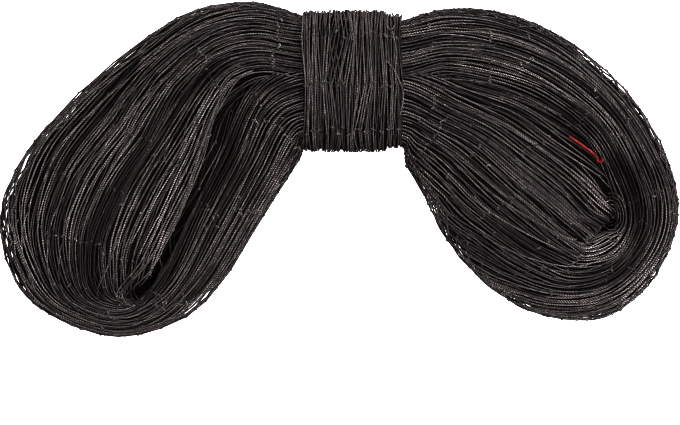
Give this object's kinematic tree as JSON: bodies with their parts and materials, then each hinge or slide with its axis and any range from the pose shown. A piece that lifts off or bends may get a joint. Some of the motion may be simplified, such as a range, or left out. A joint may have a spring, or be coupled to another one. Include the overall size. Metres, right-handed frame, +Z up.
{
  "type": "bound hank of cat safety netting",
  "caption": "Long black knotted net gathered into a hank, laid in two loops and bound at the waist by its own end; it is unrolled to close off a balcony or window.",
  "frame": {"origin": "middle of the bounding box on the surface that the hank lies on", "axes": "+X along the hank from the wide left loop to the right loop, +Y from the open side between the loops towards the wrapped waist, +Z up out of the surface"},
  "size_m": [0.4489, 0.2212, 0.0585],
  "materials": {
    "net_twine": "black twisted synthetic twine with a faint sheen",
    "marker_twine": "dull red thread"
  },
  "bodies": {
    "root": {"net_hank": "net_twine", "waist_wrap": "net_twine", "marker_thread": "marker_twine"}
  },
  "joints": []
}
